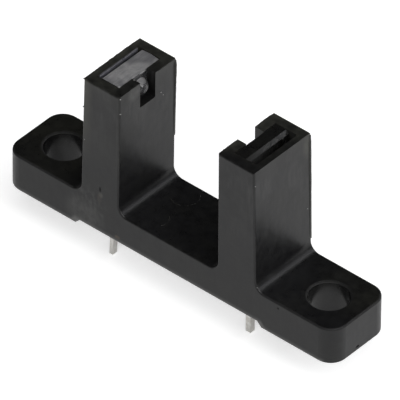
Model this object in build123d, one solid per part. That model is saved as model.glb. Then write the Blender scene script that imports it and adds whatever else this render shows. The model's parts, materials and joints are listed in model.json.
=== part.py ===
from build123d import *
import math
import os

# Slotted optical switch: two side-looking epoxy packages face each other across the slot
# of a one-piece moulded housing. All sizes are in millimetres and degrees.
# X runs along the length, from the emitter at -X to the detector at +X. Y is the depth, Z is up.
# The origin is midway between the two screw holes, on the plane where the tabs seat.

# Bar and tabs
overall_length = 31.54
housing_depth = 6.24
tab_thickness = 3.25
slot_floor_height = 3.08
tab_corner_radius = 1.4
relief_height = 0.41
relief_step_angle = 45.0
relief_beyond_tower = 0.55
housing_edge_radius = 0.16

# Screw holes
screw_pitch = 25.4
screw_hole_diameter = 3.15
screw_hole_rim_chamfer = 0.14

# Towers and the slot between them, which lean in a little from the slot floor to their tops
slot_width = 9.5
slot_toe_in = 0.06
housing_height = 14.02
tower_draft_angle = 1.4
tower_root_radius = 0.8
slot_side_wall = 0.74
outer_side_wall = 0.54

# Fit of the packages in their pockets
package_face_clearance = 0.02
package_side_clearance = 0.04
package_top_recess = 0.01
pocket_corner_radius = 0.15
crush_rib_height = 0.38
crush_rib_width = 0.5
crush_rib_spacing = 2.4
crush_rib_top_drop = 2.6
crush_rib_lead_in = 0.5

# Light notches in the slot-side walls
emitter_lens_side_clearance = 0.15
detector_lens_side_clearance = 0.26
lens_floor_clearance = 0.45
notch_corner_radius = 0.12

# Lead channels through the bar
lead_channel_clearance = 0.25
lead_funnel_size = 0.25

# Side-looking packages
package_width = 4.42
package_height = 5.72
emitter_package_thickness = 1.69
detector_package_thickness = 1.3
package_parting_depth = 0.86
package_draft_angle = 3.0
emitter_package_bevel = 0.06
detector_package_bevel = 0.25
package_corner_radius = 0.06
lens_radius = 0.68
lens_protrusion = 0.68
lens_axis_drop = 1.16

# Leads, which are one stamping with the frame inside the epoxy
lead_pitch = 2.54
lead_width = 0.48
emitter_lead_thickness = 0.34
detector_lead_thickness = 0.46
lead_reach_below_seat = 2.88
lead_tip_radius = 0.11
emitter_lead_splay = 0.46
detector_lead_splay = 0.0
lead_shoulder_width = 0.9
lead_shoulder_height = 0.5
lead_shoulder_rise = 0.45
lead_neck_width = 0.42
chip_pad_size = 1.1
bond_flag_width = 0.7
bond_flag_height = 0.9
bond_flag_gap = 0.3

# Chips, the adhesive under them and their bond wires
emitter_chip_size = 0.36
emitter_chip_thickness = 0.22
detector_chip_size = 0.62
detector_chip_thickness = 0.26
die_attach_thickness = 0.04
die_attach_margin = 0.05
bond_wire_diameter = 0.05
bond_wire_chip_rise = 0.2
bond_wire_flag_rise = 0.12
bond_wire_chip_inset = 0.1

# Places worked out from the sizes above
slot_half = slot_width / 2
slot_top_half = slot_half - slot_toe_in
pocket_near = slot_half + slot_side_wall
package_face = pocket_near + package_face_clearance
thickest_package = max(emitter_package_thickness, detector_package_thickness)
pocket_far = package_face + thickest_package + crush_rib_height
tower_outer_top = pocket_far + outer_side_wall
tower_height = housing_height - tab_thickness
tower_outer_base = tower_outer_top + tower_height * math.tan(math.radians(tower_draft_angle))
relief_end = tower_outer_base + relief_beyond_tower
relief_step_run = relief_height / math.tan(math.radians(relief_step_angle))
package_top = housing_height - package_top_recess
package_bottom = package_top - package_height
frame_plane = package_face + package_parting_depth
lens_axis_height = package_top - lens_axis_drop
lens_centre = package_face - lens_protrusion + lens_radius
notch_depth = package_top_recess + lens_axis_drop + lens_radius + lens_floor_clearance


def same(a, b):
    """Tell whether two coordinates are the same place, within a hundredth of a millimetre."""
    return abs(a - b) < 0.01


def across_depth(points, depth):
    """Extrude an outline of (x, z) points to both sides of the middle plane."""
    outline = make_face(Polyline(*points, close=True))
    return extrude(Plane.XZ * outline, depth / 2, both=True)


def facing_slot(points, x):
    """Draw an outline of (y, z) points in the upright plane at x."""
    plane = Plane((x, 0, 0), x_dir=(0, 1, 0), z_dir=(1, 0, 0))
    return plane * make_face(Polyline(*points, close=True))


def rectangle_points(low_y, high_y, low_z, high_z):
    """Give the corners of an upright rectangle in (y, z)."""
    return [(low_y, low_z), (high_y, low_z), (high_y, high_z), (low_y, high_z)]


def slab(low_x, high_x, width, low_z, high_z):
    """Make a block centred on the middle plane."""
    block = Box(high_x - low_x, width, high_z - low_z, align=(Align.MIN, Align.CENTER, Align.MIN))
    return Pos(low_x, 0, low_z) * block


def housing_half():
    """Make the detector half of the bar, with its tab, its tower and the relief underneath."""
    end = overall_length / 2
    return across_depth(
        [
            (0, relief_height),
            (relief_end - relief_step_run, relief_height),
            (relief_end, 0),
            (end, 0),
            (end, tab_thickness),
            (tower_outer_base, tab_thickness),
            (tower_outer_top, housing_height),
            (slot_top_half, housing_height),
            (slot_half, slot_floor_height),
            (0, slot_floor_height),
        ],
        housing_depth,
    )


def is_tower_root(edge):
    """Tell whether an edge across the depth lies where a tower meets the bar."""
    place = edge.center()
    reach = abs(place.X)
    at_slot = same(reach, slot_half) and same(place.Z, slot_floor_height)
    at_tab = same(reach, tower_outer_base) and same(place.Z, tab_thickness)
    return at_slot or at_tab


def is_tab_corner(edge):
    """Tell whether an upright edge is one of the four corners of the tabs."""
    return same(abs(edge.center().X), overall_length / 2)


def is_rim(edge):
    """Tell whether an edge lies in the front or back face of the housing."""
    box = edge.bounding_box()
    return same(box.size.Y, 0) and same(abs(box.min.Y), housing_depth / 2)


def housing_shell():
    """Make the bar, the tabs and the towers, rounded, before anything is cut from them."""
    half = housing_half()
    body = half + mirror(half, Plane.YZ)
    roots = [edge for edge in body.edges().filter_by(Axis.Y) if is_tower_root(edge)]
    body = fillet(roots, tower_root_radius)
    corners = [edge for edge in body.edges().filter_by(Axis.Z) if is_tab_corner(edge)]
    body = fillet(corners, tab_corner_radius)
    rims = [edge for edge in body.edges() if is_rim(edge)]
    return fillet(rims, housing_edge_radius)


def pocket_space():
    """Make the space for a package, open at the tower top, with rounded outer corners."""
    pocket_width = package_width + 2 * package_side_clearance
    space = slab(pocket_near, pocket_far, pocket_width, package_bottom, housing_height)
    outer_corners = space.edges().filter_by(Axis.Z).group_by(Axis.X)[-1]
    return fillet(outer_corners, pocket_corner_radius)


def crush_ribs(package_thickness):
    """Make the ribs on the outer pocket wall that hold the package against the slot-side wall."""
    package_back = package_face + package_thickness
    rib_top = package_top - crush_rib_top_drop
    rib = across_depth(
        [
            (package_back, package_bottom),
            (package_back, rib_top - crush_rib_lead_in),
            (pocket_far, rib_top),
            (pocket_far, package_bottom),
        ],
        crush_rib_width,
    )
    return [Pos(0, side * crush_rib_spacing / 2, 0) * rib for side in (-1, 1)]


def notch_space(lens_side_clearance):
    """Make the open-topped notch through the slot-side wall, where the lens looks out."""
    notch_width = 2 * (lens_radius + lens_side_clearance)
    notch_floor = housing_height - notch_depth
    notch = slab(slot_top_half, pocket_near, notch_width, notch_floor, housing_height)
    low_corners = notch.edges().filter_by(Axis.X).group_by(Axis.Z)[0]
    return fillet(low_corners, notch_corner_radius)


def lead_channels():
    """Make the two channels, with funnels at the pocket floor, that take the leads down."""
    thickest = max(emitter_lead_thickness, detector_lead_thickness)
    emitter_reach = emitter_lead_thickness / 2 + emitter_lead_splay
    detector_reach = detector_lead_thickness / 2 + detector_lead_splay
    near = frame_plane - thickest / 2 - lead_channel_clearance
    far = frame_plane + max(emitter_reach, detector_reach) + lead_channel_clearance
    half_width = lead_width / 2 + lead_channel_clearance
    funnel_half = half_width + lead_funnel_size
    outline = [
        (-half_width, 0),
        (half_width, 0),
        (half_width, package_bottom - lead_funnel_size),
        (funnel_half, package_bottom),
        (-funnel_half, package_bottom),
        (-half_width, package_bottom - lead_funnel_size),
    ]
    channel = extrude(facing_slot(outline, near), far - near)
    return [Pos(0, side * lead_pitch / 2, 0) * channel for side in (-1, 1)]


def tower_cuts(lens_side_clearance, package_thickness):
    """Gather all that is cut from the detector-side tower and the bar below it."""
    space = pocket_space()
    for rib in crush_ribs(package_thickness):
        space -= rib
    space += notch_space(lens_side_clearance)
    for channel in lead_channels():
        space += channel
    return space


def screw_hole():
    """Make the form of one screw hole, with its rims slightly broken, on the Z axis."""
    radius = screw_hole_diameter / 2
    rim_radius = radius + screw_hole_rim_chamfer
    half_profile = Polyline(
        (0, 0),
        (rim_radius, 0),
        (radius, screw_hole_rim_chamfer),
        (radius, tab_thickness - screw_hole_rim_chamfer),
        (rim_radius, tab_thickness),
        (0, tab_thickness),
        close=True,
    )
    return revolve(Plane.XZ * make_face(half_profile), Axis.Z)


def make_housing():
    """Make the one-piece moulded housing."""
    body = housing_shell()
    body -= tower_cuts(detector_lens_side_clearance, detector_package_thickness)
    emitter_cuts = tower_cuts(emitter_lens_side_clearance, emitter_package_thickness)
    body -= mirror(emitter_cuts, Plane.YZ)
    for side in (-1, 1):
        body -= Pos(side * screw_pitch / 2, 0, 0) * screw_hole()
    return body


def package_section(x, draft_run):
    """Draw a package's outline at x, where the mould's draft has taken it in by draft_run."""
    half = package_width / 2 - draft_run
    return facing_slot(rectangle_points(-half, half, package_bottom, package_top - draft_run), x)


def package_block(thickness, bevel):
    """Make a package's outer form: two drafted halves with a domed lens towards the slot."""
    draft = math.tan(math.radians(package_draft_angle))
    face_run = package_parting_depth * draft
    back_run = (thickness - package_parting_depth) * draft
    widest = package_section(frame_plane, 0)
    block = loft([package_section(package_face, face_run), widest])
    block += loft([widest, package_section(package_face + thickness, back_run)])
    back_edges = block.edges().group_by(Axis.X)[-1]
    block = chamfer(back_edges.sort_by(Axis.Z)[-1], bevel)
    face_edges = block.edges().group_by(Axis.X)[0]
    block = fillet(face_edges.sort_by(Axis.Z)[1:], package_corner_radius)
    return block + Pos(lens_centre, 0, lens_axis_height) * Sphere(lens_radius)


def frame_plate(outline, thickness):
    """Make a flat piece of the lead frame from an outline of (y, z) points."""
    return extrude(facing_slot(outline, frame_plane - thickness / 2), thickness)


def lead_stem(side, thickness, splay):
    """Make the straight run of a lead from the frame down to its rounded, sheared tip."""
    near = frame_plane - thickness / 2
    far = frame_plane + thickness / 2
    stem = across_depth(
        [
            (near, package_bottom),
            (far, package_bottom),
            (far + splay, -lead_reach_below_seat),
            (near + splay, -lead_reach_below_seat),
        ],
        lead_width,
    )
    tip_edges = stem.edges().group_by(Axis.Z)[0]
    return Pos(0, side * lead_pitch / 2, 0) * fillet(tip_edges, lead_tip_radius)


def lead_root(side, thickness):
    """Make the foot of the frame above a lead, with the shoulder that anchors it in the epoxy."""
    middle = side * lead_pitch / 2
    shoulder_bottom = package_bottom + lead_shoulder_rise
    shoulder_top = shoulder_bottom + lead_shoulder_height
    half = lead_width / 2
    foot = rectangle_points(middle - half, middle + half, package_bottom, shoulder_bottom)
    half = lead_shoulder_width / 2
    shoulder = rectangle_points(middle - half, middle + half, shoulder_bottom, shoulder_top)
    return frame_plate(foot, thickness) + frame_plate(shoulder, thickness)


def chip_lead(thickness, splay):
    """Make the lead at the front whose frame carries the chip on a pad behind the lens."""
    shoulder_top = package_bottom + lead_shoulder_rise + lead_shoulder_height
    half_pad = chip_pad_size / 2
    low_left = -lead_pitch / 2 - lead_neck_width / 2
    pad_bottom = lens_axis_height - half_pad
    neck = [
        (low_left, shoulder_top),
        (low_left + lead_neck_width, shoulder_top),
        (-half_pad + lead_neck_width, pad_bottom),
        (-half_pad, pad_bottom),
    ]
    pad = rectangle_points(-half_pad, half_pad, pad_bottom, lens_axis_height + half_pad)
    lead = lead_stem(-1, thickness, splay) + lead_root(-1, thickness)
    return lead + frame_plate(neck, thickness) + frame_plate(pad, thickness)


def bond_lead(thickness, splay):
    """Make the lead at the back whose frame ends in the flag that the bond wire lands on."""
    shoulder_top = package_bottom + lead_shoulder_rise + lead_shoulder_height
    flag_low_y = chip_pad_size / 2 + bond_flag_gap
    flag_top = lens_axis_height + bond_flag_height / 2
    flag_bottom = flag_top - bond_flag_height
    neck_half = lead_neck_width / 2
    middle = lead_pitch / 2
    neck = rectangle_points(middle - neck_half, middle + neck_half, shoulder_top, flag_bottom)
    flag = rectangle_points(flag_low_y, flag_low_y + bond_flag_width, flag_bottom, flag_top)
    lead = lead_stem(1, thickness, splay) + lead_root(1, thickness)
    return lead + frame_plate(neck, thickness) + frame_plate(flag, thickness)


def on_pad(low_gap, thickness, size, lead_thickness):
    """Make a square layer on the slot side of the chip pad, low_gap above the pad's surface."""
    surface = frame_plane - lead_thickness / 2 - low_gap
    half = size / 2
    square = rectangle_points(-half, half, lens_axis_height - half, lens_axis_height + half)
    return extrude(facing_slot(square, surface - thickness), thickness)


def bond_wire(chip_size, chip_thickness, lead_thickness):
    """Make the wire that rises from the chip's face and slopes to the flag of the other lead."""
    pad_face = frame_plane - lead_thickness / 2
    chip_face = pad_face - die_attach_thickness - chip_thickness
    chip_y = chip_size / 2 - bond_wire_chip_inset
    flag_y = (chip_pad_size + bond_flag_width) / 2 + bond_flag_gap
    route = Polyline(
        (chip_face, chip_y, lens_axis_height),
        (chip_face - bond_wire_chip_rise, chip_y, lens_axis_height),
        (pad_face - bond_wire_flag_rise, flag_y, lens_axis_height),
        (pad_face, flag_y, lens_axis_height),
    )
    section = Plane(route @ 0, z_dir=route % 0) * Circle(bond_wire_diameter / 2)
    return sweep(section, path=route, transition=Transition.RIGHT)


def moulded_in(lead_thickness, splay, chip_size, chip_thickness):
    """Make all that one package holds: its two leads, the adhesive, the chip and the wire."""
    chip_carrier = chip_lead(lead_thickness, splay)
    other_lead = bond_lead(lead_thickness, splay)
    attach_size = chip_size + 2 * die_attach_margin
    attach = on_pad(0, die_attach_thickness, attach_size, lead_thickness)
    chip = on_pad(die_attach_thickness, chip_thickness, chip_size, lead_thickness)
    wire = bond_wire(chip_size, chip_thickness, lead_thickness)
    return [chip_carrier, other_lead, attach, chip, wire]


def with_epoxy(block, inner):
    """Cast a package's block around what it holds."""
    for piece in inner:
        block -= piece
    return [block] + inner


def write_pieces(names, pieces):
    """Write each piece to a file that bears its name."""
    for name, piece in zip(names, pieces):
        export_step(piece, f"parts/{name}.step")


def main():
    """Build every piece and write the files."""
    os.makedirs("parts", exist_ok=True)
    write_pieces(["housing"], [make_housing()])
    emitter = with_epoxy(
        package_block(emitter_package_thickness, emitter_package_bevel),
        moulded_in(
            emitter_lead_thickness, emitter_lead_splay, emitter_chip_size, emitter_chip_thickness
        ),
    )
    write_pieces(
        [
            "emitter_package",
            "emitter_cathode_lead",
            "emitter_anode_lead",
            "emitter_die_attach",
            "emitter_chip",
            "emitter_bond_wire",
        ],
        [mirror(piece, Plane.YZ) for piece in emitter],
    )
    detector = with_epoxy(
        package_block(detector_package_thickness, detector_package_bevel),
        moulded_in(
            detector_lead_thickness, detector_lead_splay, detector_chip_size, detector_chip_thickness
        ),
    )
    write_pieces(
        [
            "detector_package",
            "detector_collector_lead",
            "detector_emitter_lead",
            "detector_die_attach",
            "detector_chip",
            "detector_bond_wire",
        ],
        detector,
    )


main()
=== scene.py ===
import json
import math
import random

import bmesh
import bpy
from mathutils import Matrix, Vector


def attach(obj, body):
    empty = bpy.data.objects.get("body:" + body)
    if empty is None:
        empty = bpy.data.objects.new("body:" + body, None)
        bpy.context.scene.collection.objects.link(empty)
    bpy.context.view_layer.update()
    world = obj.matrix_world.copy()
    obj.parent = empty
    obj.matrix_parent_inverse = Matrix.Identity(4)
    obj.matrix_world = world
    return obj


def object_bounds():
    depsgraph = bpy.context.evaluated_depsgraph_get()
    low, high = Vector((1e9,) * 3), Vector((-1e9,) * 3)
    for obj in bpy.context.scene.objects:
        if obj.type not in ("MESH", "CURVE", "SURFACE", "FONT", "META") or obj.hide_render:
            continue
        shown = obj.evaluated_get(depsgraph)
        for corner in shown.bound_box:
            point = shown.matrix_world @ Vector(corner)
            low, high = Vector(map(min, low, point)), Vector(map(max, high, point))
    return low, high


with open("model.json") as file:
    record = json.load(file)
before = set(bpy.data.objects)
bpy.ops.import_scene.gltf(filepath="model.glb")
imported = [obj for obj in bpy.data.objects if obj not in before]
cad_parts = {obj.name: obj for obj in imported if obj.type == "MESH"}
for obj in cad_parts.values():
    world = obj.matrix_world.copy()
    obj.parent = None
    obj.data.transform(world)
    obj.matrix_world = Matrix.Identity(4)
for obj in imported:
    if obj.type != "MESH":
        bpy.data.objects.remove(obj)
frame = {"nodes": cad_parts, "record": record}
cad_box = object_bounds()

# The looks of a slotted optical switch: the materials of its solids, the small marks of moulding,
# wear and dirt on them, a pale floor and room, four soft lamps and the camera.
# Blender's unit here is the metre. Places on the object are in millimetres, with X along the
# length from the emitter's tower to the detector's, Y to the back and Z up from the seating plane.
MM = 0.001
RANDOM_SEED = 20
draw = random.Random(RANDOM_SEED)

# Camera, as fitted to the straight edges of the object in the photograph
IMAGE_WIDTH_PX = 400
CAMERA_AZIMUTH_DEG = 40.66
CAMERA_ELEVATION_DEG = 39.90
CAMERA_ROLL_DEG = 0.57
CAMERA_DISTANCE = 958.6 * MM
CAMERA_AIM_HEIGHT = 6.0 * MM
CAMERA_AIM_RIGHT = 0.283 * MM
CAMERA_AIM_UP = -0.649 * MM
CAMERA_CLIP_START = 0.01
CAMERA_CLIP_END = 20.0
FOCAL_LENGTH_PX = 13264.0
SENSOR_WIDTH_MM = 36.0

# Floor: half its width in metres, its albedo, and its glow as radiance, where 1 is white
FLOOR_HALF_SIZE = 4.0
FLOOR_ALBEDO = 0.8
FLOOR_GLOW_MIRRORED = 0.28
FLOOR_GLOW_LOOKED_AT = 0.58

# Room: its radiance low down and overhead, and the z of a ray's direction where each ends
ROOM_LOW = 0.3
ROOM_OVERHEAD = 0.03
ROOM_LOW_UNTIL = 0.0
ROOM_OVERHEAD_FROM = 0.16
WHITE = (1.0, 1.0, 1.0)

# Lamps: place and width in metres, and radiance. None is where the level tops would mirror it.
FRONT_LAMP = ((0.42, -0.54, 0.98), 1.0, 2.9)
RIGHT_LAMP = ((1.0, -0.06, 0.64), 0.6, 4.6)
BACK_LAMP = ((0.35, 1.12, 0.66), 0.5, 4.7)
SIDE_LAMP = ((0.66, 0.64, 0.64), 0.58, 1.05)
SIDE_LAMP_COLOR = (0.93, 0.94, 1.0)

# Places on the solids, in millimetres
HOLE_AXIS_MM = 12.7
HOLE_WALL_MM = 1.60
HOLE_RIM_MM = 1.76
HOLE_EDGE_MM = 0.02
TAB_TOP_MM = 3.25
TAB_FROM_MM = 9.0
TAB_END_MM = 15.77
RELIEF_END_MM = 8.93
RELIEF_HEIGHT_MM = 0.41
SLOT_FLOOR_MM = 3.08
SLOT_HALF_MM = 4.69
SLOT_LEAN = 0.0055
TOWER_OUTER_MM = 8.12
TOWER_TOP_MM = 14.02
TOWER_DRAFT = math.tan(math.radians(1.4))
FRONT_MM = -3.12
BACK_MM = 3.12
POCKET_WALL_MM = -7.58
EMITTER_FACE_MM = -5.51
DETECTOR_BEVEL_MM = 6.68

# Where a normal's z counts as facing up, and between which values it leans
FACING_UP = (0.6, 0.95)
LEANING_FROM = (0.05, 0.15)
LEANING_UNTIL = (0.97, 0.995)
STRAIGHT_UP = (0.0, 0.0, 1.0)

# Where the Mix node keeps its two inputs and its output, for each kind of data
MIX_SOCKETS = {"RGBA": (6, 7, 2), "VECTOR": (4, 5, 1)}

# How much of a blot's reach is at full strength
BLOT_CORE = 0.35

# The housing's colours. A pair is mottled between its two.
PLAIN_BLACK = ((0.0042, 0.0042, 0.0046), (0.0078, 0.0078, 0.0082))
OLIVE = ((0.0080, 0.0080, 0.0066), (0.0160, 0.0160, 0.0126))
WORN_AND_BACK_LIT_OLIVE = ((0.0145, 0.0145, 0.0120), (0.0265, 0.0265, 0.0220))
RUBBED_RIM = (0.036, 0.036, 0.031)
GREY_FILM_AND_SHEEN = (0.034, 0.034, 0.034)
PALE_LEFT_EDGE = (0.0620, 0.0600, 0.0480)
DUST = (0.20, 0.20, 0.19)
SCUFF = (0.085, 0.085, 0.083)
LOW_EDGE_HIGHLIGHT = (0.210, 0.210, 0.204)

# How strongly each lies over the colour below it
OLIVE_SHARE = 0.45
TAB_LIGHT_SHARE = 0.9
FILM_AND_SHEEN_SHARE = 0.9
LEFT_EDGE_SHARE = 0.8
DUST_SHARE = 0.30
SCUFF_SHARE = 0.6
LOW_EDGE_HIGHLIGHT_SHARE = 0.8

# The other materials' colours. A pair is mottled between its two.
MILK = ((0.24, 0.24, 0.25), (0.60, 0.59, 0.585))
MILK_STREAK = (0.11, 0.11, 0.125)
MILK_END = (0.10, 0.10, 0.11)
CLEAR_SIDE = (0.085, 0.085, 0.092)
EMITTER_HIGHLIGHT_AND_PATCH_COLOR = (0.62, 0.62, 0.61)
INFRARED_BLACK = ((0.0030, 0.0030, 0.0030), (0.0075, 0.0075, 0.0066))
BROKEN_BEVEL = (0.09, 0.09, 0.085)
TIN = ((0.62, 0.60, 0.56), (0.86, 0.85, 0.82))
DRAWN_TIN = (0.46, 0.44, 0.40)
SILVER = ((0.38, 0.38, 0.38), (0.70, 0.70, 0.69))
CHIP_FILM = ((0.035, 0.040, 0.055), (0.075, 0.060, 0.085))
GOLD = ((0.80, 0.56, 0.20), (0.94, 0.72, 0.32))
LINT_AND_GLINT = ((0.16, 0.16, 0.155), (0.34, 0.34, 0.33))
CLOUDED_GLUE = ((0.036, 0.036, 0.043), (0.088, 0.087, 0.098))
RUBBED_BLACK = ((0.012, 0.012, 0.011), (0.034, 0.034, 0.030))

# The values of a noise between which most of its mottling shows, and indices of refraction
MOTTLING = (0.3, 0.7)
HOUSING_IOR = 1.42
CLEAR_EPOXY_IOR = 1.53
DARK_EPOXY_IOR = 1.5

# Where the housing's wear and its painted light set in or fade out, in millimetres: each pair is the
# two ends of that
NEAR_TOP_Z = (12.2, 13.95)
BETWEEN_TOWERS_X = (-1.0, 1.0)
BACK_LIT_TOP_Y = (-2.6, -1.6)
LEFT_TOP_SLOT_SIDE_X = (-5.7, -5.3)
RIGHT_OF_LEFT_TOWER_X = (-1.0, 0.0)
RIGHT_TOP_OUTER_SIDE_X = (7.3, 7.7)
UNWORN_SIDES_Y = (1.0, 2.6)
LEFT_TAB_X = (-9.5, -10.5)
LEFT_TAB_Y = (-3.0, 0.5)
RIGHT_TAB_X = (12.6, 14.6)
RIGHT_TAB_Y = (-1.0, 1.6)
RIM_WIDTH = 0.42
RIM_FULL_WIDTH = 0.05
RIGHT_TOWER_X = (0.0, 1.0)
BACK_RIM_Y = (2.75, 3.07)
RUBBED_RIM_Y = (-2.9, -1.9)
FILM_AND_SHEEN_Z = (5.0, 13.5)
LEFT_EDGE_X = (-7.1, -8.1)
LEFT_EDGE_Z = (6.0, 13.0)
LOW_EDGE_HIGHLIGHT_Z = (0.12, 0.52)
FRONT_FACE_Y = (-3.0, -3.08)
TAB_RIM_FROM_Z = (TAB_TOP_MM - 0.19, TAB_TOP_MM - 0.15)
TAB_RIM_UNTIL_Z = (TAB_TOP_MM + 0.01, TAB_TOP_MM + 0.04)
TAB_RIM_X = (TAB_FROM_MM, TAB_FROM_MM + 0.1)
ABOVE_THE_FLOORS_Z = (3.6, 4.0)

# Where the left tower's front is scuffed pale about its foot: centre and reach
SCUFFED_FOOT = ((-7.65, FRONT_MM, 2.30), (2.2, 0.5, 2.5))

# Stains and worn patches: centre, reach, strength and colour
STAINS = (
    ((-8.00, FRONT_MM, 1.35), (2.3, 0.3, 1.9), 0.7, (0.058, 0.058, 0.056)),
    ((-6.44, FRONT_MM, 3.98), (0.30, 0.3, 0.35), 0.8, (0.070, 0.068, 0.060)),
    ((-4.81, FRONT_MM, 0.90), (0.35, 0.3, 0.22), 0.9, (0.075, 0.055, 0.038)),
    ((-6.55, FRONT_MM, 3.60), (0.30, 0.3, 0.60), 0.6, (0.045, 0.036, 0.026)),
    ((-4.75, FRONT_MM, 10.5), (0.30, 0.3, 6.0), 0.9, (0.024, 0.024, 0.023)),
    ((8.20, 2.85, 12.9), (0.4, 0.75, 1.4), 0.9, (0.048, 0.048, 0.040)),
    ((-SLOT_HALF_MM, -1.45, 13.45), (0.3, 0.85, 0.85), 0.9, (0.060, 0.060, 0.057)),
)

# Small dark nicks, whose dented surface mirrors the dim room overhead: centre, reach and strength
NICKS = (
    ((-6.50, FRONT_MM, 4.48), (0.12, 0.3, 0.34), 0.36),
    ((10.55, FRONT_MM, 2.78), (0.12, 0.3, 0.12), 0.45),
    ((TAB_END_MM, -0.37, 0.40), (0.3, 0.24, 0.13), 0.8),
)

# A painted highlight along the top of the emitter's slot face, and a pale patch at its front corner:
# centre, reach and strength
EMITTER_HIGHLIGHT_AND_PATCH = (
    ((EMITTER_FACE_MM, 0.35, 13.88), (0.2, 0.55, 0.10), 0.65),
    ((EMITTER_FACE_MM, -2.10, 14.00), (0.25, 0.20, 0.10), 0.6),
)

# Pale flecks, and one pale crumb that is a painted glint by the emitter's notch: centre and radius
FLECKS_AND_GLINT = (
    ((-4.66, -3.04, 13.86), 0.065),
    ((-4.66, -3.04, 12.50), 0.060),
    ((-8.01, -3.12, 8.37), 0.045),
    ((-4.69, 1.45, 11.80), 0.060),
    ((-4.69, 1.69, 11.40), 0.045),
    ((8.29, 2.66, 7.26), 0.060),
    ((8.16, -3.00, 12.80), 0.040),
    ((8.54, -3.11, 3.59), 0.035),
    ((8.80, -3.11, 3.42), 0.025),
    # A painted glint: a pale crumb at the top of the emitter's notch
    ((-5.28, -0.85, 14.00), 0.070),
)

# Crumbs of plastic on the left tower's outer edges: centre and radius
CRUMBS = (
    ((-8.15, -3.02, 13.93), 0.070),
    ((-8.20, -3.04, 11.30), 0.060),
    ((-8.14, 0.55, 13.93), 0.075),
    ((-8.14, -0.72, 13.94), 0.055),
    ((-8.13, 1.70, 13.95), 0.045),
)

# Sections of the beads, point by point: how far out, as a fixed distance and as a share of the
# bead's width, and how far below its top or in front of its back, in millimetres
FLASH_SECTION = (
    (-0.09, 0.0, 0.26),
    (0.0, 0.0, 0.25),
    (0.0, 0.6, 0.21),
    (0.0, 0.95, 0.15),
    (0.0, 1.0, 0.09),
    (0.0, 0.8, 0.03),
    (0.0, 0.3, 0.002),
    (-0.09, 0.0, 0.002),
)
BURR_SECTION = (
    (-0.05, 0.0, 0.11),
    (0.01, 1.0, 0.07),
    (0.0, 1.0, 0.015),
    (-0.05, 0.0, 0.004),
)
GLUE_SECTION = (
    (-0.02, 0.0, 0.6),
    (-0.02, 0.0, 0.01),
    (0.0, 0.35, 0.0),
    (0.0, 0.75, 0.03),
    (0.0, 1.0, 0.10),
    (0.0, 0.9, 0.6),
)

# Moulding flash down the towers' back edges: greatest width, and the height it ends at
LEFT_FLASH = (0.12, 7.0)
RIGHT_FLASH = (0.11, 4.5)
FLASH_TOP_DROP_MM = 0.22

# How the flash's width starts, swells and tapers down the edge, and between what it wanders
FLASH_START = 0.3
FLASH_SWELL = 12
FLASH_TAPER = 0.7
FLASH_RAGGEDNESS = (0.55, 1.25)

# Burrs along the rims of the towers' tops: x, the way out, from y, to y, greatest width and steps
BURRS = (
    (-TOWER_OUTER_MM, -1, -2.9, 2.9, 0.07, 60),
    (-SLOT_HALF_MM, 1, 1.1, 2.9, 0.05, 24),
    (SLOT_HALF_MM, -1, -2.9, -1.0, 0.07, 24),
    (SLOT_HALF_MM, -1, 1.1, 2.9, 0.07, 24),
)
BURR_LEAST_WIDTH_MM = 0.004
BURR_END_SLOPE = 6
BURR_WANDER = (0.0, 1.0)

# How much of the last value a wandering one keeps: on the beads, the burrs and the arcs
BEAD_KEEPS = 0.6
BURR_KEEPS = 0.35
ARC_KEEPS = 0.45

# A crumb's height as a share of its width, and how far its points lie in or out
CRUMB_HEIGHT = (0.6, 0.9)
CRUMB_UNEVENNESS = (0.72, 1.15)

# The bead of adhesive: its ends, its width, the height of its crown over the tower's top, and
# the share of the width that it loses towards the back
GLUE_FROM_Y_MM = -2.05
GLUE_TO_Y_MM = 2.1
GLUE_WIDTH_MM = (0.13, 0.20)
GLUE_CROWN_MM = (-0.06, -0.02)
GLUE_NARROWING = 0.35

# Ejector marks on the slot floor: centre, radius and the arc that stands proud, in degrees
EJECTOR_MARKS = (
    ((-2.49, 1.69), 1.10, (-125.0, 48.0)),
    ((-2.28, -1.49), 0.80, (-35.0, 70.0)),
)
EJECTOR_HEIGHT_MM = (-0.012, 0.027)
EJECTOR_LOWEST_MM = -0.004
EJECTOR_SUNK_MM = -0.006
EJECTOR_HALF_WIDTH_MM = 0.045
EJECTOR_FOOT_MM = -0.01


def make_camera():
    """Place the camera at the photograph's viewing angle."""
    azimuth = math.radians(CAMERA_AZIMUTH_DEG)
    elevation = math.radians(CAMERA_ELEVATION_DEG)
    roll = math.radians(CAMERA_ROLL_DEG)
    back = Vector((
        math.sin(azimuth) * math.cos(elevation),
        -math.cos(azimuth) * math.cos(elevation),
        math.sin(elevation),
    ))
    right = Vector((math.cos(azimuth), math.sin(azimuth), 0.0))
    up = back.cross(right)
    aim = Vector((0.0, 0.0, CAMERA_AIM_HEIGHT)) + right * CAMERA_AIM_RIGHT + up * CAMERA_AIM_UP
    place = aim + back * CAMERA_DISTANCE
    turned_right = right * math.cos(roll) + up * math.sin(roll)
    turned_up = up * math.cos(roll) - right * math.sin(roll)
    data = bpy.data.cameras.new("camera")
    data.sensor_width = SENSOR_WIDTH_MM
    data.lens = FOCAL_LENGTH_PX / IMAGE_WIDTH_PX * SENSOR_WIDTH_MM
    data.clip_start = CAMERA_CLIP_START
    data.clip_end = CAMERA_CLIP_END
    camera = bpy.data.objects.new("camera", data)
    bpy.context.scene.collection.objects.link(camera)
    rows = [[turned_right[i], turned_up[i], back[i], place[i]] for i in range(3)]
    camera.matrix_world = Matrix(rows + [[0.0, 0.0, 0.0, 1.0]])
    bpy.context.scene.camera = camera


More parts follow.
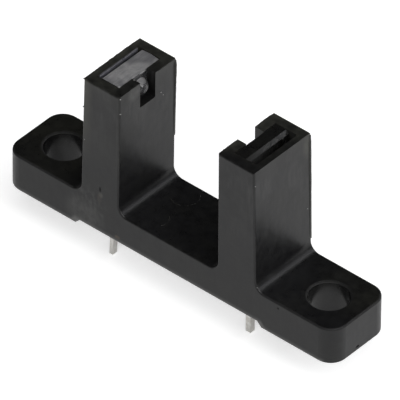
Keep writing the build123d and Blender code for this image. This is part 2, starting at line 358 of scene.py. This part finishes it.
class Shading:
    """One node tree, with a short call for each kind of node that the surfaces here use."""

    def __init__(self, tree):
        self.tree = tree
        tree.nodes.clear()

    def node(self, kind, **settings):
        """Add a node and set its own settings."""
        made = self.tree.nodes.new(kind)
        for name, value in settings.items():
            setattr(made, name, value)
        return made

    def feed(self, socket, value):
        """Link a socket to another's output, or set it to a number, colour or vector."""
        if isinstance(value, bpy.types.NodeSocket):
            self.tree.links.new(value, socket)
        else:
            socket.default_value = value

    def place(self, stretch=(1.0, 1.0, 1.0)):
        """Give the place on the surface in millimetres, in the object's own frame."""
        coords = self.node("ShaderNodeTexCoord")
        per_metre = tuple(share / MM for share in stretch)
        return self.vector_math("MULTIPLY", coords.outputs["Object"], per_metre)

    def parts(self, vector):
        """Give a vector's x, y and z."""
        made = self.node("ShaderNodeSeparateXYZ")
        self.feed(made.inputs[0], vector)
        return made.outputs["X"], made.outputs["Y"], made.outputs["Z"]

    def vector_math(self, operation, first, second):
        """Work out a vector from two others."""
        made = self.node("ShaderNodeVectorMath", operation=operation)
        self.feed(made.inputs[0], first)
        self.feed(made.inputs[1], second)
        return made.outputs[0]

    def math(self, operation, first, second=0.0, third=0.0):
        """Work out a number from up to three others."""
        made = self.node("ShaderNodeMath", operation=operation)
        for socket, value in zip(made.inputs, (first, second, third)):
            self.feed(socket, value)
        return made.outputs[0]

    def times(self, first, *others):
        """Multiply numbers together."""
        for other in others:
            first = self.math("MULTIPLY", first, other)
        return first

    def greater(self, first, second):
        """Give the greater of two numbers."""
        return self.math("MAXIMUM", first, second)

    def rest(self, share):
        """Give what a share leaves of 1."""
        return self.math("SUBTRACT", 1.0, share)

    def add(self, base, value, scale):
        """Add a scaled value to a base."""
        return self.math("MULTIPLY_ADD", value, scale, base)

    def ramp(self, value, low, high, to_low=0.0, to_high=1.0, smooth=False):
        """Map a value from one range to another, held at the ends."""
        curve = "SMOOTHSTEP" if smooth else "LINEAR"
        made = self.node("ShaderNodeMapRange", interpolation_type=curve)
        self.feed(made.inputs["Value"], value)
        self.feed(made.inputs["From Min"], low)
        self.feed(made.inputs["From Max"], high)
        self.feed(made.inputs["To Min"], to_low)
        self.feed(made.inputs["To Max"], to_high)
        return made.outputs[0]

    def mix(self, data_type, share, first, second):
        """Mix two colours or two vectors."""
        first_input, second_input, output = MIX_SOCKETS[data_type]
        made = self.node("ShaderNodeMix", data_type=data_type)
        self.feed(made.inputs[0], share)
        self.feed(made.inputs[first_input], first)
        self.feed(made.inputs[second_input], second)
        return made.outputs[output]

    def blend(self, share, first, second):
        """Mix two colours, each a socket or red, green and blue."""
        colors = [(*color, 1.0) if isinstance(color, tuple) else color for color in (first, second)]
        return self.mix("RGBA", share, *colors)

    def shade(self, value, low, high, colors):
        """Give the first colour where a value is low and the second where it is high."""
        return self.blend(self.ramp(value, low, high), *colors)

    def noise(self, place, per_mm, detail=3.0, roughness=0.55, distortion=0.0):
        """Give fractal noise about 0.5, with the given number of features for each millimetre."""
        made = self.node("ShaderNodeTexNoise")
        self.feed(made.inputs["Vector"], place)
        self.feed(made.inputs["Scale"], per_mm)
        self.feed(made.inputs["Detail"], detail)
        self.feed(made.inputs["Roughness"], roughness)
        self.feed(made.inputs["Distortion"], distortion)
        return made.outputs[0]

    def specks(self, place, per_mm, share, radius_mm):
        """Give 1 on small round specks, on the given share of the cells of a lattice."""
        cells = self.node("ShaderNodeTexVoronoi")
        self.feed(cells.inputs["Vector"], place)
        self.feed(cells.inputs["Scale"], per_mm)
        cell_color = self.node("ShaderNodeSeparateColor")
        self.feed(cell_color.inputs[0], cells.outputs["Color"])
        chosen = self.math("GREATER_THAN", cell_color.outputs[0], 1.0 - share)
        reach = radius_mm * per_mm
        near = self.ramp(cells.outputs["Distance"], reach / 2, reach, 1.0, 0.0, smooth=True)
        return self.times(chosen, near)

    def blot(self, place, centre, reach):
        """Give 1 about a centre, falling to 0 at the given reach along x, y and z."""
        away = self.vector_math("SUBTRACT", place, centre)
        shares = self.vector_math("DIVIDE", away, reach)
        length = self.node("ShaderNodeVectorMath", operation="LENGTH")
        self.feed(length.inputs[0], shares)
        return self.ramp(length.outputs["Value"], BLOT_CORE, 1.0, 1.0, 0.0, smooth=True)

    def bumps(self, *layers):
        """Tilt the surface by layers, the lowest first.

        Each is a height from 0 to 1 and the depth in millimetres that it stands for.
        """
        normal = None
        for height, depth_mm in layers:
            made = self.node("ShaderNodeBump")
            self.feed(made.inputs["Strength"], 1.0)
            self.feed(made.inputs["Distance"], depth_mm * MM)
            self.feed(made.inputs["Height"], height)
            if normal is not None:
                self.feed(made.inputs["Normal"], normal)
            normal = made.outputs[0]
        return normal

    def own_normal(self):
        """Give the surface's own normal, with no bump."""
        return self.node("ShaderNodeNewGeometry").outputs["Normal"]

    def turn(self, share, normal, other):
        """Turn a normal towards another direction, by a share."""
        unit = self.node("ShaderNodeVectorMath", operation="NORMALIZE")
        self.feed(unit.inputs[0], self.mix("VECTOR", share, normal, other))
        return unit.outputs[0]

    def flatten(self, share, normal):
        """Turn a bumped normal back to the surface's own, by a share."""
        return self.turn(share, normal, self.own_normal())

    def facing_up(self):
        """Give 1 where the surface faces up, and 0 where it stands upright or faces down."""
        up = self.parts(self.own_normal())[2]
        return self.ramp(up, *FACING_UP)

    def leaning(self):
        """Give 1 where the surface leans between upright and level, and 0 on tops and walls."""
        up = self.parts(self.own_normal())[2]
        return self.times(self.ramp(up, *LEANING_FROM), self.ramp(up, *LEANING_UNTIL, 1.0, 0.0))


def surface(name, build):
    """Make a material whose Principled sockets are those that build returns by name."""
    material = bpy.data.materials.new(name)
    material.use_nodes = True
    shading = Shading(material.node_tree)
    out = shading.node("ShaderNodeOutputMaterial")
    shader = shading.node("ShaderNodeBsdfPrincipled")
    for socket, value in build(shading).items():
        shading.feed(shader.inputs[socket], value)
    shading.feed(out.inputs["Surface"], shader.outputs[0])
    return material


class HousingSkin:
    """The masks, colour, roughness and relief of the housing's plastic."""

    def __init__(self, s):
        self.s = s
        self.place = s.place()
        self.x, self.y, self.z = s.parts(self.place)
        self.from_middle = s.math("ABSOLUTE", self.x)
        self.broad = s.noise(self.place, per_mm=0.45, detail=2.0)
        self.mottle = s.noise(self.place, per_mm=1.7, detail=4.0, roughness=0.6)
        drawn_down = s.place((1.0, 1.0, 0.16))
        self.streaks = s.noise(drawn_down, per_mm=3.2)
        self.upward = s.facing_up()
        self.upright = s.rest(self.upward)
        self.near_top = s.ramp(self.z, *NEAR_TOP_Z, smooth=True)
        self.top_wear_and_back_light = self.find_top_wear_and_back_light()
        self.in_hole, self.hole_rim = self.find_hole()
        self.tab_rim = self.find_tab_rim()

    def find_top_wear_and_back_light(self):
        """Find the worn tower tops, less worn at the front and along their right sides: partly wear,
        and partly painted light that pales them towards the back.
        """
        s = self.s
        mottled = s.ramp(self.mottle, 0.25, 0.6, 0.35, 1.0)
        # Painted light from behind: the tops pale towards the back, and the right tower's front
        # stays dark
        at_front = s.ramp(self.x, *BETWEEN_TOWERS_X, 0.7, 0.05)
        towards_back = s.ramp(self.y, *BACK_LIT_TOP_Y, at_front, 1.0)
        left_slot_side = s.times(
            s.ramp(self.x, *LEFT_TOP_SLOT_SIDE_X), s.ramp(self.x, *RIGHT_OF_LEFT_TOWER_X, 1.0, 0.0),
        )
        less_worn = s.greater(left_slot_side, s.ramp(self.x, *RIGHT_TOP_OUTER_SIDE_X))
        less_worn = s.times(less_worn, s.ramp(self.y, *UNWORN_SIDES_Y, 0.75, 0.0))
        return s.times(self.near_top, mottled, towards_back, s.rest(less_worn))

    def find_hole(self):
        """Find the walls of the screw holes, and the eased rims around them."""
        s = self.s
        off_axis = s.math("SUBTRACT", self.from_middle, HOLE_AXIS_MM)
        radius = s.math("SQRT", s.add(s.times(self.y, self.y), off_axis, off_axis))
        in_hole = s.ramp(radius, HOLE_WALL_MM, HOLE_WALL_MM + HOLE_EDGE_MM, 1.0, 0.0)
        in_rim = s.ramp(radius, HOLE_RIM_MM, HOLE_RIM_MM + HOLE_EDGE_MM, 1.0, 0.0)
        return in_hole, s.math("SUBTRACT", in_rim, in_hole)

    def find_tab_rim(self):
        """Find the rounded rims of the tabs' tops."""
        s = self.s
        return s.times(
            s.ramp(self.z, *TAB_RIM_FROM_Z),
            s.leaning(),
            s.ramp(self.from_middle, *TAB_RIM_X),
            s.ramp(self.z, *TAB_RIM_UNTIL_Z, 1.0, 0.0),
        )

    def color(self):
        """Lay the wear, the dirt and the painted light over the plastic, one on the other."""
        s = self.s
        patches = s.noise(self.place, per_mm=0.28, detail=3.0, roughness=0.6, distortion=0.4)
        black = s.shade(self.mottle, 0.35, 0.65, PLAIN_BLACK)
        olive = s.shade(self.mottle, 0.35, 0.7, OLIVE)
        back_lit_worn_olive = s.shade(self.mottle, *MOTTLING, WORN_AND_BACK_LIT_OLIVE)
        body = s.blend(s.ramp(patches, 0.45, 0.75, 0.0, OLIVE_SHARE), black, olive)
        # Worn olive on the tower tops, with painted light that pales them towards the back
        body = s.blend(self.top_wear_and_back_light, body, back_lit_worn_olive)
        # Painted light on the tabs' tops, in the olive of the plastic
        body = s.blend(s.times(self.tab_tops_painted_light(), TAB_LIGHT_SHARE), body, olive)
        body = s.blend(s.times(self.tower_rims(), self.upward), body, RUBBED_RIM)
        # Grey film in streaks, and a painted sheen that grows up the upright faces
        body = s.blend(self.film(), body, GREY_FILM_AND_SHEEN)
        body = s.blend(s.times(self.left_edge(), LEFT_EDGE_SHARE), body, PALE_LEFT_EDGE)
        dust = s.specks(self.place, per_mm=1.3, share=0.03, radius_mm=0.06)
        body = s.blend(s.times(dust, DUST_SHARE), body, DUST)
        body = s.blend(s.times(self.scuffs(), SCUFF_SHARE), body, SCUFF)
        stained = s.ramp(self.mottle, 0.3, 0.6, 0.3, 1.0)
        for centre, reach, strength, stain in STAINS:
            share = s.times(s.blot(self.place, centre, reach), stained, strength)
            body = s.blend(share, body, stain)
        # A painted reflection of the pale floor along the front's lower edge
        return s.blend(s.times(self.low_edge_highlight(), LOW_EDGE_HIGHLIGHT_SHARE), body, LOW_EDGE_HIGHLIGHT)

    def tab_tops_painted_light(self):
        """Find the tabs' tops towards their ends and the back, where painted light lifts the shade
        on the left tab and pales the right tab.
        """
        s = self.s
        left = s.times(s.ramp(self.x, *LEFT_TAB_X), s.ramp(self.y, *LEFT_TAB_Y, 0.45, 1.0))
        right = s.times(s.ramp(self.x, *RIGHT_TAB_X), s.ramp(self.y, *RIGHT_TAB_Y, 0.0, 0.7))
        return s.times(s.greater(left, right), self.upward)

    def tower_rims(self):
        """Find the rubbed rims of the towers' tops: the left sides of both, and the back."""
        s = self.s
        left_tower = s.ramp(self.x, -TOWER_OUTER_MM + RIM_WIDTH, -TOWER_OUTER_MM + RIM_FULL_WIDTH)
        right_tower = s.ramp(self.x, SLOT_HALF_MM + RIM_WIDTH, SLOT_HALF_MM + RIM_FULL_WIDTH)
        right_tower = s.times(right_tower, s.ramp(self.x, *RIGHT_TOWER_X))
        rim = s.greater(left_tower, right_tower)
        rim = s.greater(rim, s.ramp(self.y, *BACK_RIM_Y, 0.0, 0.5))
        rim = s.times(rim, s.ramp(self.y, *RUBBED_RIM_Y, 0.1, 1.0))
        return s.times(rim, self.near_top, s.ramp(self.mottle, 0.3, 0.65, 0.35, 1.0))

    def film(self):
        """Find the grey film that lies in streaks on the upright faces, with a painted sheen that
        grows towards their tops.
        """
        s = self.s
        film = s.times(s.ramp(self.streaks, 0.36, 0.66), s.ramp(self.broad, 0.36, 0.6))
        return s.times(film, self.upright, s.ramp(self.z, *FILM_AND_SHEEN_Z, 0.0, FILM_AND_SHEEN_SHARE))

    def left_edge(self):
        """Find the pale left edge of the left tower's front."""
        s = self.s
        edge = s.ramp(self.x, *LEFT_EDGE_X, smooth=True)
        return s.times(edge, s.ramp(self.z, *LEFT_EDGE_Z), self.upright)

    def scuffs(self):
        """Find the scuffs about the left tower's foot."""
        s = self.s
        scuffed = s.noise(s.place((1.3, 1.0, 0.8)), per_mm=1.9, detail=2.0, roughness=0.5)
        return s.times(s.ramp(scuffed, 0.47, 0.78), s.blot(self.place, *SCUFFED_FOOT))

    def low_edge_highlight(self):
        """Find the lower edge of the front, which follows the relief under the bar, for a painted
        reflection of the pale floor.
        """
        s = self.s
        relief_foot = RELIEF_END_MM + RELIEF_HEIGHT_MM
        relief = s.ramp(self.from_middle, RELIEF_END_MM, relief_foot, RELIEF_HEIGHT_MM, 0.0)
        edge = s.ramp(s.math("SUBTRACT", self.z, relief), *LOW_EDGE_HIGHLIGHT_Z, 0.8, 0.0)
        return s.times(edge, edge, s.ramp(self.y, *FRONT_FACE_Y))

    def roughness(self):
        """Make worn tops, walls and rims duller, and the holes glossier."""
        s = self.s
        streaked = s.ramp(self.streaks, *MOTTLING)
        rough = s.add(s.ramp(self.mottle, *MOTTLING, 0.24, 0.33), streaked, 0.07)
        rough = s.add(rough, s.times(self.upward, self.top_wear_and_back_light), 0.14)
        rough = s.add(rough, self.upright, 0.05)
        rough = s.add(rough, self.in_hole, -0.16)
        rough = s.greater(rough, s.times(self.tab_rim, 0.7))
        return s.greater(rough, s.times(self.hole_rim, 0.42))

    def normal(self):
        """Wave and roughen the skin, less in the holes and on level floors, and dent the nicks."""
        s = self.s
        grain = s.noise(self.place, per_mm=9.0, detail=3.0, roughness=0.6)
        skin = s.bumps(
            (self.broad, 0.032), (self.mottle, 0.0050), (self.streaks, 0.0022), (grain, 0.0009),
        )
        level_floor = s.times(self.upward, s.ramp(self.z, *ABOVE_THE_FLOORS_Z, 0.8, 0.0))
        normal = s.flatten(s.greater(self.in_hole, level_floor), skin)
        normal = s.turn(s.times(self.hole_rim, 0.65), normal, STRAIGHT_UP)
        for centre, reach, strength in NICKS:
            share = s.times(s.blot(self.place, centre, reach), strength)
            normal = s.turn(share, normal, STRAIGHT_UP)
        return normal


def housing_plastic(s):
    """Satin moulded black thermoplastic: mottled, drawn down its towers, scuffed and dusty, with
    painted light on its tops, tabs and faces.
    """
    skin = HousingSkin(s)
    return {
        "Base Color": skin.color(),
        "Roughness": skin.roughness(),
        "IOR": HOUSING_IOR,
        "Normal": skin.normal(),
    }


def clear_epoxy(s):
    """Cloudy clear casting epoxy with a rough, streaked top and a smooth lens, and a painted
    highlight on its slot face.
    """
    place = s.place()
    y = s.parts(place)[1]
    upward = s.facing_up()
    clear_body = s.rest(upward)
    cloud = s.noise(place, per_mm=0.55, detail=4.0, roughness=0.6, distortion=0.6)
    streaked = s.place((2.6, 0.45, 1.0))
    streaks = s.noise(streaked, per_mm=2.1, detail=4.0, roughness=0.65, distortion=0.5)
    grain = s.noise(place, per_mm=7.0, detail=4.0, roughness=0.7)
    color = s.shade(cloud, 0.32, 0.68, MILK)
    color = s.blend(s.ramp(streaks, 0.45, 0.70, 0.0, 0.6), color, MILK_STREAK)
    dim_ends = s.greater(s.ramp(y, -1.3, -2.2, 0.0, 0.35), s.ramp(y, 0.4, 2.2, 0.0, 0.45))
    color = s.blend(dim_ends, color, MILK_END)
    color = s.blend(s.times(clear_body, 0.8), color, CLEAR_SIDE)
    scuffed = 0.0
    # The painted highlight and the pale patch, opaque where they lie
    for centre, reach, strength in EMITTER_HIGHLIGHT_AND_PATCH:
        share = s.times(s.blot(place, centre, reach), strength)
        color = s.blend(share, color, EMITTER_HIGHLIGHT_AND_PATCH_COLOR)
        scuffed = s.greater(scuffed, share)
    clearness = s.add(s.ramp(cloud, 0.35, 0.7, 0.80, 0.70), upward, -0.35)
    normal = s.bumps((cloud, 0.03), (streaks, 0.02), (grain, 0.004))
    return {
        "Base Color": color,
        "Transmission Weight": s.times(clearness, s.rest(scuffed)),
        "Roughness": s.add(s.ramp(streaks, *MOTTLING, 0.22, 0.30), upward, 0.06),
        "IOR": CLEAR_EPOXY_IOR,
        "Normal": s.flatten(clear_body, normal),
    }


def dark_epoxy(s):
    """Infrared-passing black epoxy, glossier than the housing, with a worn, broken bevel."""
    place = s.place()
    x, y = s.parts(place)[:2]
    sides = s.rest(s.facing_up())
    mottle = s.noise(place, per_mm=1.9, detail=4.0, roughness=0.65, distortion=0.3)
    grain = s.noise(place, per_mm=8.0, detail=3.0, roughness=0.6)
    chips = s.noise(place, per_mm=4.0, detail=3.0, roughness=0.7)
    color = s.shade(mottle, 0.35, 0.7, INFRARED_BLACK)
    chipped = s.times(s.ramp(chips, 0.56, 0.66), s.ramp(y, -0.5, 1.5), sides)
    color = s.blend(s.times(chipped, 0.7), color, BROKEN_BEVEL)
    dull_front = s.times(sides, s.ramp(y, -2.2, 1.2, 0.85, 0.0))
    rough = s.math("ADD", s.ramp(mottle, *MOTTLING, 0.24, 0.36), dull_front)
    uneven_crown = s.times(s.add(-0.45, mottle, 0.9), sides)
    worn_round = s.times(s.math("SUBTRACT", x, DETECTOR_BEVEL_MM), uneven_crown)
    normal = s.bumps((worn_round, 1.0), (mottle, 0.05), (grain, 0.010))
    return {"Base Color": color, "Roughness": rough, "IOR": DARK_EPOXY_IOR, "Normal": normal}


def tinned_lead(s):
    """Dull tin over a stamped and sheared strip."""
    place = s.place()
    drawn = s.noise(s.place((1.0, 1.0, 0.12)), per_mm=5.0, detail=4.0, roughness=0.6)
    spots = s.noise(place, per_mm=2.6, detail=4.0, roughness=0.65, distortion=0.4)
    grain = s.noise(place, per_mm=14.0, detail=2.0, roughness=0.6)
    color = s.shade(spots, *MOTTLING, TIN)
    color = s.blend(s.ramp(drawn, 0.55, 0.8, 0.0, 0.35), color, DRAWN_TIN)
    rough = s.add(s.ramp(spots, *MOTTLING, 0.28, 0.42), s.ramp(drawn, *MOTTLING), 0.16)
    normal = s.bumps((drawn, 0.006), (grain, 0.0015))
    return {"Base Color": color, "Metallic": 0.85, "Roughness": rough, "Normal": normal}


def follow(s, noise, colors, roughness, depth_mm):
    """Give the sockets of a surface whose colour, roughness and relief all follow one noise."""
    return {
        "Base Color": s.shade(noise, *MOTTLING, colors),
        "Roughness": s.ramp(noise, *MOTTLING, *roughness),
        "Normal": s.bumps((noise, depth_mm)),
    }


def silver_epoxy(s):
    """Silver-filled adhesive, flaky and dull."""
    flakes = s.noise(s.place(), per_mm=30.0, detail=4.0, roughness=0.7)
    return {"Metallic": 0.5, **follow(s, flakes, SILVER, (0.35, 0.6), 0.003)}


def chip(s):
    """Polished semiconductor, nearly black, with a faint film of colour."""
    film = s.noise(s.place(), per_mm=5.0, detail=3.0, roughness=0.5)
    grain = s.noise(s.place(), per_mm=40.0, detail=2.0)
    return {
        "Base Color": s.shade(film, *MOTTLING, CHIP_FILM),
        "Metallic": 0.3,
        "Roughness": s.ramp(grain, *MOTTLING, 0.10, 0.2),
        "Normal": s.bumps((grain, 0.0004)),
    }


def bond_wire(s):
    """Drawn gold."""
    drawn = s.noise(s.place(), per_mm=26.0)
    return {"Metallic": 1.0, **follow(s, drawn, GOLD, (0.18, 0.32), 0.0006)}


def pale_dust_and_glint(s):
    """Pale plastic dust and lint, also the colour of a painted glint."""
    mottle = s.noise(s.place(), per_mm=12.0)
    return follow(s, mottle, LINT_AND_GLINT, (0.5, 0.8), 0.004)


def adhesive(s):
    """Clouded adhesive with a wet skin, grey over the dark plastic."""
    cloud = s.noise(s.place(), per_mm=2.4, detail=4.0, roughness=0.6, distortion=0.4)
    return follow(s, cloud, CLOUDED_GLUE, (0.25, 0.5), 0.02)


def rubbed_plastic(s):
    """The housing's plastic where it is thin flash or a raised arc: paler and rougher."""
    mottle = s.noise(s.place(), per_mm=3.5)
    return {"IOR": HOUSING_IOR, **follow(s, mottle, RUBBED_BLACK, (0.3, 0.5), 0.006)}


# Which material each packed slot takes
SURFACES = {
    "housing_plastic": housing_plastic,
    "clear_epoxy": clear_epoxy,
    "dark_epoxy": dark_epoxy,
    "tinned_lead": tinned_lead,
    "silver_epoxy": silver_epoxy,
    "chip": chip,
    "bond_wire": bond_wire,
}


def dress_nodes():
    """Give each CAD node the material of its slot in the record."""
    made = {slot: surface(slot, build) for slot, build in SURFACES.items()}
    for part in frame["record"]["subparts"]:
        mesh = frame["nodes"][part["node"]].data
        mesh.materials.clear()
        mesh.materials.append(made[part["material_slot"]])


def point_mm(x, y, z):
    """Give a place in Blender's metres from one in millimetres."""
    return Vector((x, y, z)) * MM


def add_piece(name, builder, material):
    """Turn a built mesh into a piece that rides on the housing's body."""
    bmesh.ops.recalc_face_normals(builder, faces=builder.faces)
    mesh = bpy.data.meshes.new(name)
    builder.to_mesh(mesh)
    builder.free()
    for face in mesh.polygons:
        face.use_smooth = True
    mesh.materials.append(material)
    piece = bpy.data.objects.new(name, mesh)
    bpy.context.scene.collection.objects.link(piece)
    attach(piece, "root")


def lump(builder, centre, radius):
    """Add one irregular crumb."""
    made = bmesh.ops.create_icosphere(builder, subdivisions=2, radius=radius * MM)
    flat = draw.uniform(*CRUMB_HEIGHT)
    for vertex in made["verts"]:
        vertex.co *= draw.uniform(*CRUMB_UNEVENNESS)
        vertex.co.z *= flat
        vertex.co += point_mm(*centre)


def skin_rings(builder, rings, joined_ends=False):
    """Cover a row of equal rings of points with faces, with caps on its ends unless they join."""
    rows = [[builder.verts.new(point) for point in ring] for ring in rings]
    count = len(rows[0])
    pairs = list(zip(rows, rows[1:]))
    if joined_ends:
        pairs.append((rows[-1], rows[0]))
    else:
        builder.faces.new(rows[0])
        builder.faces.new(rows[-1])
    for first, second in pairs:
        for i in range(count):
            j = (i + 1) % count
            builder.faces.new((first[i], first[j], second[j], second[i]))


def drifting(count, low, high, keep=BEAD_KEEPS):
    """Give values that wander between two limits."""
    value = draw.uniform(low, high)
    values = []
    for _ in range(count):
        value = keep * value + (1 - keep) * draw.uniform(low, high)
        values.append(value)
    return values


def outline(section, width):
    """Give a section's points for one width: how far out, and how far below or in front."""
    return [(fixed + share * width, depth) for fixed, share, depth in section]


def flash_bead(builder, face_x, top_width, low_z, steps=36):
    """Add a ragged rounded bead down a tower's back edge, at the x that face_x gives for each z."""
    rings = []
    for i, ragged in enumerate(drifting(steps, *FLASH_RAGGEDNESS)):
        share = i / (steps - 1)
        z = TOWER_TOP_MM - FLASH_TOP_DROP_MM - share * (TOWER_TOP_MM - low_z)
        growth = min(1.0, FLASH_START + FLASH_SWELL * share)
        width = top_width * growth * (1 - share) ** FLASH_TAPER * ragged
        rings.append([
            point_mm(face_x(z) + out, BACK_MM - depth, z)
            for out, depth in outline(FLASH_SECTION, width)
        ])
    skin_rings(builder, rings)


def rim_burr(builder, x, outward, low_y, high_y, most, steps):
    """Add a ragged burr along a tower-top rim that runs to the back."""
    rings = []
    for i, ragged in enumerate(drifting(steps, *BURR_WANDER, BURR_KEEPS)):
        share = i / (steps - 1)
        y = low_y + share * (high_y - low_y)
        ends = min(1.0, BURR_END_SLOPE * share, BURR_END_SLOPE * (1 - share))
        width = most * ragged * ends + BURR_LEAST_WIDTH_MM
        rings.append([
            point_mm(x + outward * out, y, TOWER_TOP_MM - depth)
            for out, depth in outline(BURR_SECTION, width)
        ])
    skin_rings(builder, rings)


def left_slot_face(z):
    """Give the x of the left tower's slot face at a height."""
    return -SLOT_HALF_MM - (TOWER_TOP_MM - z) * SLOT_LEAN


def right_outer_face(z):
    """Give the x of the right tower's outer face at a height."""
    return TOWER_OUTER_MM + (TOWER_TOP_MM - z) * TOWER_DRAFT


def make_flash():
    """Add the moulding flash on the towers' back edges and top rims, and the crumbs of it."""
    builder = bmesh.new()
    flash_bead(builder, left_slot_face, *LEFT_FLASH)
    flash_bead(builder, right_outer_face, *RIGHT_FLASH)
    for burr in BURRS:
        rim_burr(builder, *burr)
    for centre, radius in CRUMBS:
        lump(builder, centre, radius)
    add_piece("moulding_flash", builder, surface("rubbed_plastic", rubbed_plastic))


def make_flecks_and_glint():
    """Scatter the pale flecks that cling to the faces, and the pale crumb that is a painted glint.
    """
    builder = bmesh.new()
    for centre, radius in FLECKS_AND_GLINT:
        lump(builder, centre, radius)
    add_piece("pale_flecks_and_glint", builder, surface("pale_dust_and_glint", pale_dust_and_glint))


def make_glue_bead(steps=40):
    """Run a thin bead of adhesive between the emitter and its pocket's outer wall."""
    widths = drifting(steps, *GLUE_WIDTH_MM)
    crowns = drifting(steps, *GLUE_CROWN_MM)
    rings = []
    for i in range(steps):
        share = i / (steps - 1)
        y = GLUE_FROM_Y_MM + share * (GLUE_TO_Y_MM - GLUE_FROM_Y_MM)
        width = widths[i] * (1.0 - GLUE_NARROWING * share)
        top = TOWER_TOP_MM + crowns[i]
        rings.append([
            point_mm(POCKET_WALL_MM + out, y, top - depth)
            for out, depth in outline(GLUE_SECTION, width)
        ])
    builder = bmesh.new()
    skin_rings(builder, rings)
    add_piece("glue_bead", builder, surface("adhesive", adhesive))


def make_ejector_marks(steps=72):
    """Raise the faint arcs that the ejector pins left on the slot floor.

    Each is a whole ring, which lies below the floor outside its arc.
    """
    builder = bmesh.new()
    for (x, y), radius, (arc_from, arc_to) in EJECTOR_MARKS:
        middle = Vector((x, y, SLOT_FLOOR_MM))
        rings = []
        for i, height in enumerate(drifting(steps, *EJECTOR_HEIGHT_MM, ARC_KEEPS)):
            turn = 2 * math.pi * i / steps - math.pi
            on_arc = arc_from < math.degrees(turn) < arc_to
            height = max(height, EJECTOR_LOWEST_MM) if on_arc else EJECTOR_SUNK_MM
            around = Vector((math.cos(turn), math.sin(turn), 0.0))
            section = (
                (-EJECTOR_HALF_WIDTH_MM, EJECTOR_FOOT_MM),
                (0.0, height),
                (EJECTOR_HALF_WIDTH_MM, EJECTOR_FOOT_MM),
            )
            rings.append([
                (middle + around * (radius + out) + Vector((0, 0, up))) * MM for out, up in section
            ])
        skin_rings(builder, rings, joined_ends=True)
    add_piece("ejector_marks", builder, surface("rubbed_floor", rubbed_plastic))


def light_path_share(s, names):
    """Give 1 for a ray of one of the named kinds, and 0 for the rays that carry the light itself."""
    path = s.node("ShaderNodeLightPath")
    share = path.outputs[names[0]]
    for name in names[1:]:
        share = s.greater(share, path.outputs[name])
    return share


def make_floor():
    """Lay the pale floor under the lead tips. Where it is looked at, it glows up to white."""
    lowest = cad_box[0].z
    half = FLOOR_HALF_SIZE
    corners = ((-half, -half), (half, -half), (half, half), (-half, half))
    mesh = bpy.data.meshes.new("floor")
    mesh.from_pydata([(x, y, lowest) for x, y in corners], [], [(0, 1, 2, 3)])
    floor = bpy.data.objects.new("floor", mesh)
    bpy.context.scene.collection.objects.link(floor)
    material = bpy.data.materials.new("floor")
    material.use_nodes = True
    s = Shading(material.node_tree)
    out = s.node("ShaderNodeOutputMaterial")
    both = s.node("ShaderNodeAddShader")
    diffuse = s.node("ShaderNodeBsdfDiffuse")
    s.feed(diffuse.inputs["Color"], (FLOOR_ALBEDO, FLOOR_ALBEDO, FLOOR_ALBEDO, 1.0))
    glow = s.node("ShaderNodeEmission")
    mirrored = light_path_share(s, ("Is Glossy Ray", "Is Transmission Ray"))
    looked_at = light_path_share(s, ("Is Camera Ray",))
    strength = s.add(s.times(looked_at, FLOOR_GLOW_LOOKED_AT), mirrored, FLOOR_GLOW_MIRRORED)
    s.feed(glow.inputs["Strength"], strength)
    s.feed(both.inputs[0], diffuse.outputs[0])
    s.feed(both.inputs[1], glow.outputs[0])
    s.feed(out.inputs["Surface"], both.outputs[0])
    floor.data.materials.append(material)


def make_room():
    """Surround the object with a room that is pale low down and dim overhead, and looks white."""
    world = bpy.data.worlds.new("studio")
    bpy.context.scene.world = world
    world.use_nodes = True
    s = Shading(world.node_tree)
    out = s.node("ShaderNodeOutputWorld")
    coords = s.node("ShaderNodeTexCoord")
    up = s.parts(coords.outputs["Generated"])[2]
    lit = s.ramp(up, ROOM_LOW_UNTIL, ROOM_OVERHEAD_FROM, ROOM_LOW, ROOM_OVERHEAD, smooth=True)
    room = s.node("ShaderNodeBackground")
    s.feed(room.inputs["Strength"], lit)
    white = s.node("ShaderNodeBackground")
    s.feed(white.inputs["Strength"], 1.0)
    for background in (room, white):
        s.feed(background.inputs["Color"], (*WHITE, 1.0))
    mix = s.node("ShaderNodeMixShader")
    s.feed(mix.inputs[0], light_path_share(s, ("Is Camera Ray",)))
    s.feed(mix.inputs[1], room.outputs[0])
    s.feed(mix.inputs[2], white.outputs[0])
    s.feed(out.inputs["Surface"], mix.outputs[0])


def area_lamp(name, place, size, radiance, color=WHITE):
    """Hang a soft square lamp of a given radiance, aimed at the object."""
    data = bpy.data.lights.new(name, "AREA")
    data.shape = "SQUARE"
    data.size = size
    data.energy = radiance * math.pi * size * size
    data.color = color
    lamp = bpy.data.objects.new(name, data)
    lamp.location = place
    lamp.rotation_euler = Vector(place).to_track_quat("Z", "Y").to_euler()
    bpy.context.scene.collection.objects.link(lamp)


make_camera()
make_floor()
make_room()
area_lamp("front_lamp", *FRONT_LAMP)
area_lamp("right_lamp", *RIGHT_LAMP)
area_lamp("back_lamp", *BACK_LAMP)
area_lamp("side_lamp", *SIDE_LAMP, SIDE_LAMP_COLOR)
dress_nodes()
make_flash()
make_flecks_and_glint()
make_glue_bead()
make_ejector_marks()

bpy.context.scene.view_settings.view_transform = "Standard"
